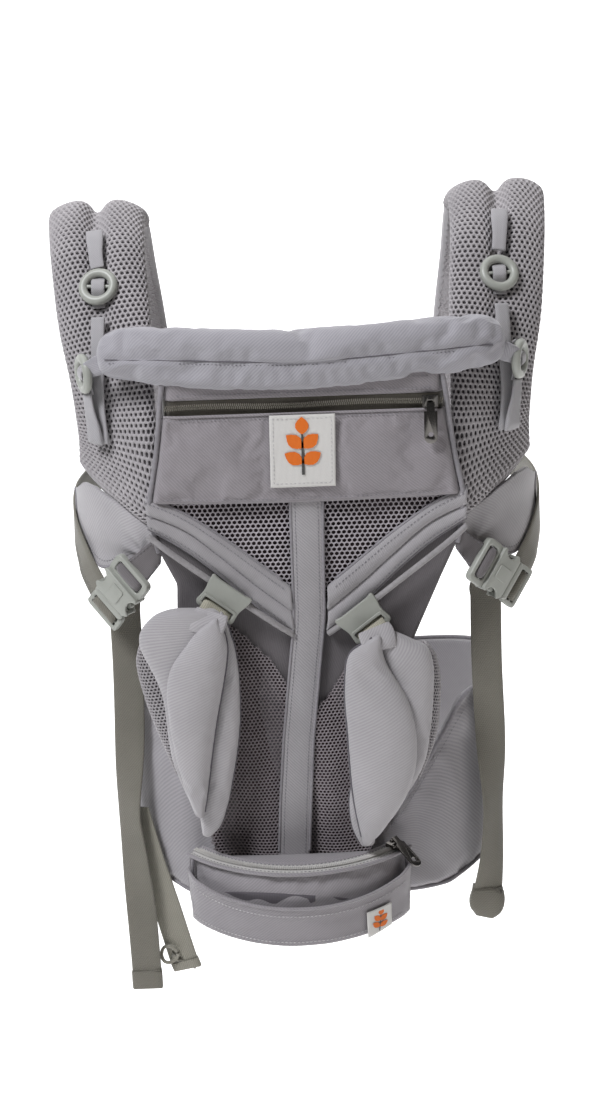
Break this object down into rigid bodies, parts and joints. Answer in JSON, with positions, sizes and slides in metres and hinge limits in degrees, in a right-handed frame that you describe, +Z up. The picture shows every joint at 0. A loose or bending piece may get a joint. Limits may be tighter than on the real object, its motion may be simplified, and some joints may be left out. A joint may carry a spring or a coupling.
{
  "type": "soft baby carrier",
  "caption": "Front-worn soft baby carrier with padded shoulder straps, a waist belt, a mesh seat panel with sliding leg flaps, a rolled head support, side buckles and a zipped waist pouch.",
  "frame": {"origin": "on the wearer's body axis, at the mid height of the waist belt", "axes": "+X across the wearer, towards the right of the front view; the panel faces -Y; +Z up"},
  "size_m": [0.398, 0.3095, 0.6462],
  "materials": {
    "pad_mesh": "warp-knit spacer mesh",
    "twill": "brushed polyester twill",
    "twill_light": "brushed polyester twill, light",
    "liner_cloth": "plain weave lining",
    "open_mesh": "open hexagon net over a dark lining",
    "binding": "folded twill binding",
    "webbing": "woven nylon webbing",
    "buckle_plastic": "moulded acetal",
    "zip_tape": "zip tape with a nylon coil",
    "zip_tape_light": "zip tape with a nylon coil, light",
    "zip_metal": "black nickel plated zinc",
    "label": "woven label"
  },
  "bodies": {
    "carrier": {"inner_liner": "liner_cloth", "body_panel": "twill", "chest_pocket": "twill", "stowed_hood": "liner_cloth", "chest_zip": "zip_tape", "badge_patch": "label", "centre_strip": "binding", "mesh_panels": "open_mesh", "seat_bands": "binding", "slide_rails": "buckle_plastic", "left_side_wing": "twill_light", "right_side_wing": "twill_light", "left_shoulder_front": "pad_mesh", "right_shoulder_front": "pad_mesh", "left_shoulder_back": "pad_mesh", "right_shoulder_back": "pad_mesh", "left_underarm_webbing": "webbing", "right_underarm_webbing": "webbing", "button_straps": "binding", "left_buckle_frame": "buckle_plastic", "right_buckle_frame": "buckle_plastic", "waist_belt_left": "twill_light", "waist_belt_right": "twill_light", "lumbar_pad": "twill", "waist_loop": "webbing", "waist_buckle_frame": "buckle_plastic"},
    "chest_zip_slider": {"chest_zip_slider": "zip_metal"},
    "chest_zip_pull": {"chest_zip_pull": "zip_metal"},
    "left_seat_slider": {"left_seat_slider": "buckle_plastic", "left_slider_webbing": "webbing", "left_leg_flap": "twill_light"},
    "right_seat_slider": {"right_seat_slider": "buckle_plastic", "right_slider_webbing": "webbing", "right_leg_flap": "twill_light"},
    "head_support": {"head_support": "twill"},
    "left_upper_ring": {"left_upper_ring": "buckle_plastic"},
    "right_upper_ring": {"right_upper_ring": "buckle_plastic"},
    "left_lower_ring": {"left_lower_ring": "buckle_plastic"},
    "right_lower_ring": {"right_lower_ring": "buckle_plastic"},
    "left_buckle_insert": {"left_buckle_insert": "buckle_plastic"},
    "right_buckle_insert": {"right_buckle_insert": "buckle_plastic"},
    "left_prong_upper": {"left_prong_upper": "buckle_plastic"},
    "left_prong_lower": {"left_prong_lower": "buckle_plastic"},
    "right_prong_upper": {"right_prong_upper": "buckle_plastic"},
    "right_prong_lower": {"right_prong_lower": "buckle_plastic"},
    "left_webbing_tail": {"left_webbing_tail": "webbing"},
    "right_webbing_tail": {"right_webbing_tail": "webbing"},
    "waist_buckle_insert": {"waist_buckle_insert": "buckle_plastic", "waist_webbing": "webbing"},
    "waist_prong_upper": {"waist_prong_upper": "buckle_plastic"},
    "waist_prong_lower": {"waist_prong_lower": "buckle_plastic"},
    "cross_strap": {"cross_strap": "webbing", "cross_buckle_frame": "buckle_plastic"},
    "cross_buckle_insert": {"cross_buckle_insert": "buckle_plastic"},
    "cross_prong_upper": {"cross_prong_upper": "buckle_plastic"},
    "cross_prong_lower": {"cross_prong_lower": "buckle_plastic"},
    "pouch": {"pouch_body": "twill_light", "pouch_zip": "zip_tape_light"},
    "pouch_zip_slider": {"pouch_zip_slider": "zip_metal"},
    "pouch_zip_pull": {"pouch_zip_pull": "zip_metal"}
  },
  "joints": [
    {"name": "chest_zip_run", "type": "slide", "parent": "carrier", "child": "chest_zip_slider", "axis": [1, 0, 0], "range_m": [-0.192, 0]},
    {"name": "chest_pull_swing", "type": "hinge", "parent": "chest_zip_slider", "child": "chest_zip_pull", "pos_m": [0.096, -0.1424, 0.349], "axis": [-1, 0, 0], "range_deg": [0, 100]},
    {"name": "left_seat_slide", "type": "slide", "parent": "carrier", "child": "left_seat_slider", "axis": [0.7873, 0, -0.6165], "range_m": [-0.025, 0.012]},
    {"name": "right_seat_slide", "type": "slide", "parent": "carrier", "child": "right_seat_slider", "axis": [-0.7873, 0, -0.6165], "range_m": [-0.03, 0]},
    {"name": "head_support_tilt", "type": "hinge", "parent": "carrier", "child": "head_support", "pos_m": [0, -0.112, 0.362], "axis": [1, 0, 0], "range_deg": [0, 9]},
    {"name": "left_upper_ring_tip", "type": "hinge", "parent": "carrier", "child": "left_upper_ring", "pos_m": [-0.156, -0.066, 0.432], "axis": [0.9848, -0.1736, 0], "range_deg": [-4, 8]},
    {"name": "left_lower_ring_tip", "type": "hinge", "parent": "carrier", "child": "left_lower_ring", "pos_m": [-0.168, -0.103, 0.372], "axis": [-0.3746, 0.9272, 0], "range_deg": [-12, 12]},
    {"name": "right_upper_ring_tip", "type": "hinge", "parent": "carrier", "child": "right_upper_ring", "pos_m": [0.156, -0.066, 0.432], "axis": [0.9848, 0.1736, 0], "range_deg": [-4, 8]},
    {"name": "right_lower_ring_tip", "type": "hinge", "parent": "carrier", "child": "right_lower_ring", "pos_m": [0.168, -0.103, 0.372], "axis": [0.3746, 0.9272, 0], "range_deg": [-12, 12]},
    {"name": "left_buckle_pull", "type": "slide", "parent": "carrier", "child": "left_buckle_insert", "axis": [-0.5265, 0.3687, -0.766], "range_m": [0, 0.03]},
    {"name": "right_buckle_pull", "type": "slide", "parent": "carrier", "child": "right_buckle_insert", "axis": [0.6275, 0.4394, -0.6428], "range_m": [0, 0.03]},
    {"name": "left_prong_press", "type": "slide", "parent": "left_buckle_insert", "child": "left_prong_upper", "axis": [0.6275, -0.4394, -0.6428], "range_m": [0, 0.002], "stiffness_N_per_m": 800},
    {"name": "left_prong_press_lower", "type": "slide", "parent": "left_buckle_insert", "child": "left_prong_lower", "axis": [-0.6275, 0.4394, 0.6428], "range_m": [0, 0.002], "stiffness_N_per_m": 800},
    {"name": "right_prong_press", "type": "slide", "parent": "right_buckle_insert", "child": "right_prong_upper", "axis": [-0.5265, -0.3687, -0.766], "range_m": [0, 0.002], "stiffness_N_per_m": 800},
    {"name": "right_prong_press_lower", "type": "slide", "parent": "right_buckle_insert", "child": "right_prong_lower", "axis": [0.5265, 0.3687, 0.766], "range_m": [0, 0.002], "stiffness_N_per_m": 800},
    {"name": "left_tail_swing", "type": "hinge", "parent": "left_buckle_insert", "child": "left_webbing_tail", "pos_m": [-0.151, -0.084, 0.176], "axis": [-1, 0, 0], "range_deg": [0, 10]},
    {"name": "right_tail_swing", "type": "hinge", "parent": "right_buckle_insert", "child": "right_webbing_tail", "pos_m": [0.143, -0.086, 0.18], "axis": [-1, 0, 0], "range_deg": [0, 10]},
    {"name": "waist_buckle_pull", "type": "slide", "parent": "carrier", "child": "waist_buckle_insert", "axis": [1, 0, 0], "range_m": [0, 0.03]},
    {"name": "waist_prong_press", "type": "slide", "parent": "waist_buckle_insert", "child": "waist_prong_upper", "axis": [0, 0, -1], "range_m": [0, 0.002], "stiffness_N_per_m": 800},
    {"name": "waist_prong_press_lower", "type": "slide", "parent": "waist_buckle_insert", "child": "waist_prong_lower", "axis": [0, 0, 1], "range_m": [0, 0.002], "stiffness_N_per_m": 800},
    {"name": "cross_strap_height", "type": "slide", "parent": "carrier", "child": "cross_strap", "axis": [0, -0.14, 0.9901], "range_m": [-0.03, 0.02]},
    {"name": "cross_buckle_pull", "type": "slide", "parent": "cross_strap", "child": "cross_buckle_insert", "axis": [1, 0, 0], "range_m": [0, 0.022]},
    {"name": "cross_prong_press", "type": "slide", "parent": "cross_buckle_insert", "child": "cross_prong_upper", "axis": [0, 0, -1], "range_m": [0, 0.0014], "stiffness_N_per_m": 600},
    {"name": "cross_prong_press_lower", "type": "slide", "parent": "cross_buckle_insert", "child": "cross_prong_lower", "axis": [0, 0, 1], "range_m": [0, 0.0014], "stiffness_N_per_m": 600},
    {"name": "pouch_pull_off", "type": "slide", "parent": "carrier", "child": "pouch", "axis": [0, -1, 0], "range_m": [0, 0.06]},
    {"name": "pouch_zip_run", "type": "hinge", "parent": "pouch", "child": "pouch_zip_slider", "pos_m": [-0.016, -0.06, -0.025], "axis": [0, 0, 1], "range_deg": [-92, 0]},
    {"name": "pouch_pull_swing", "type": "hinge", "parent": "pouch_zip_slider", "child": "pouch_zip_pull", "pos_m": [0.06241, -0.13572, -0.0196], "axis": [-0.6947, -0.7193, 0], "range_deg": [0, 110]}
  ],
  "couplings": [
    {"joint": "left_prong_press_lower", "follows": "left_prong_press", "ratio": 1},
    {"joint": "right_prong_press_lower", "follows": "right_prong_press", "ratio": 1},
    {"joint": "waist_prong_press_lower", "follows": "waist_prong_press", "ratio": 1},
    {"joint": "cross_prong_press_lower", "follows": "cross_prong_press", "ratio": 1}
  ]
}
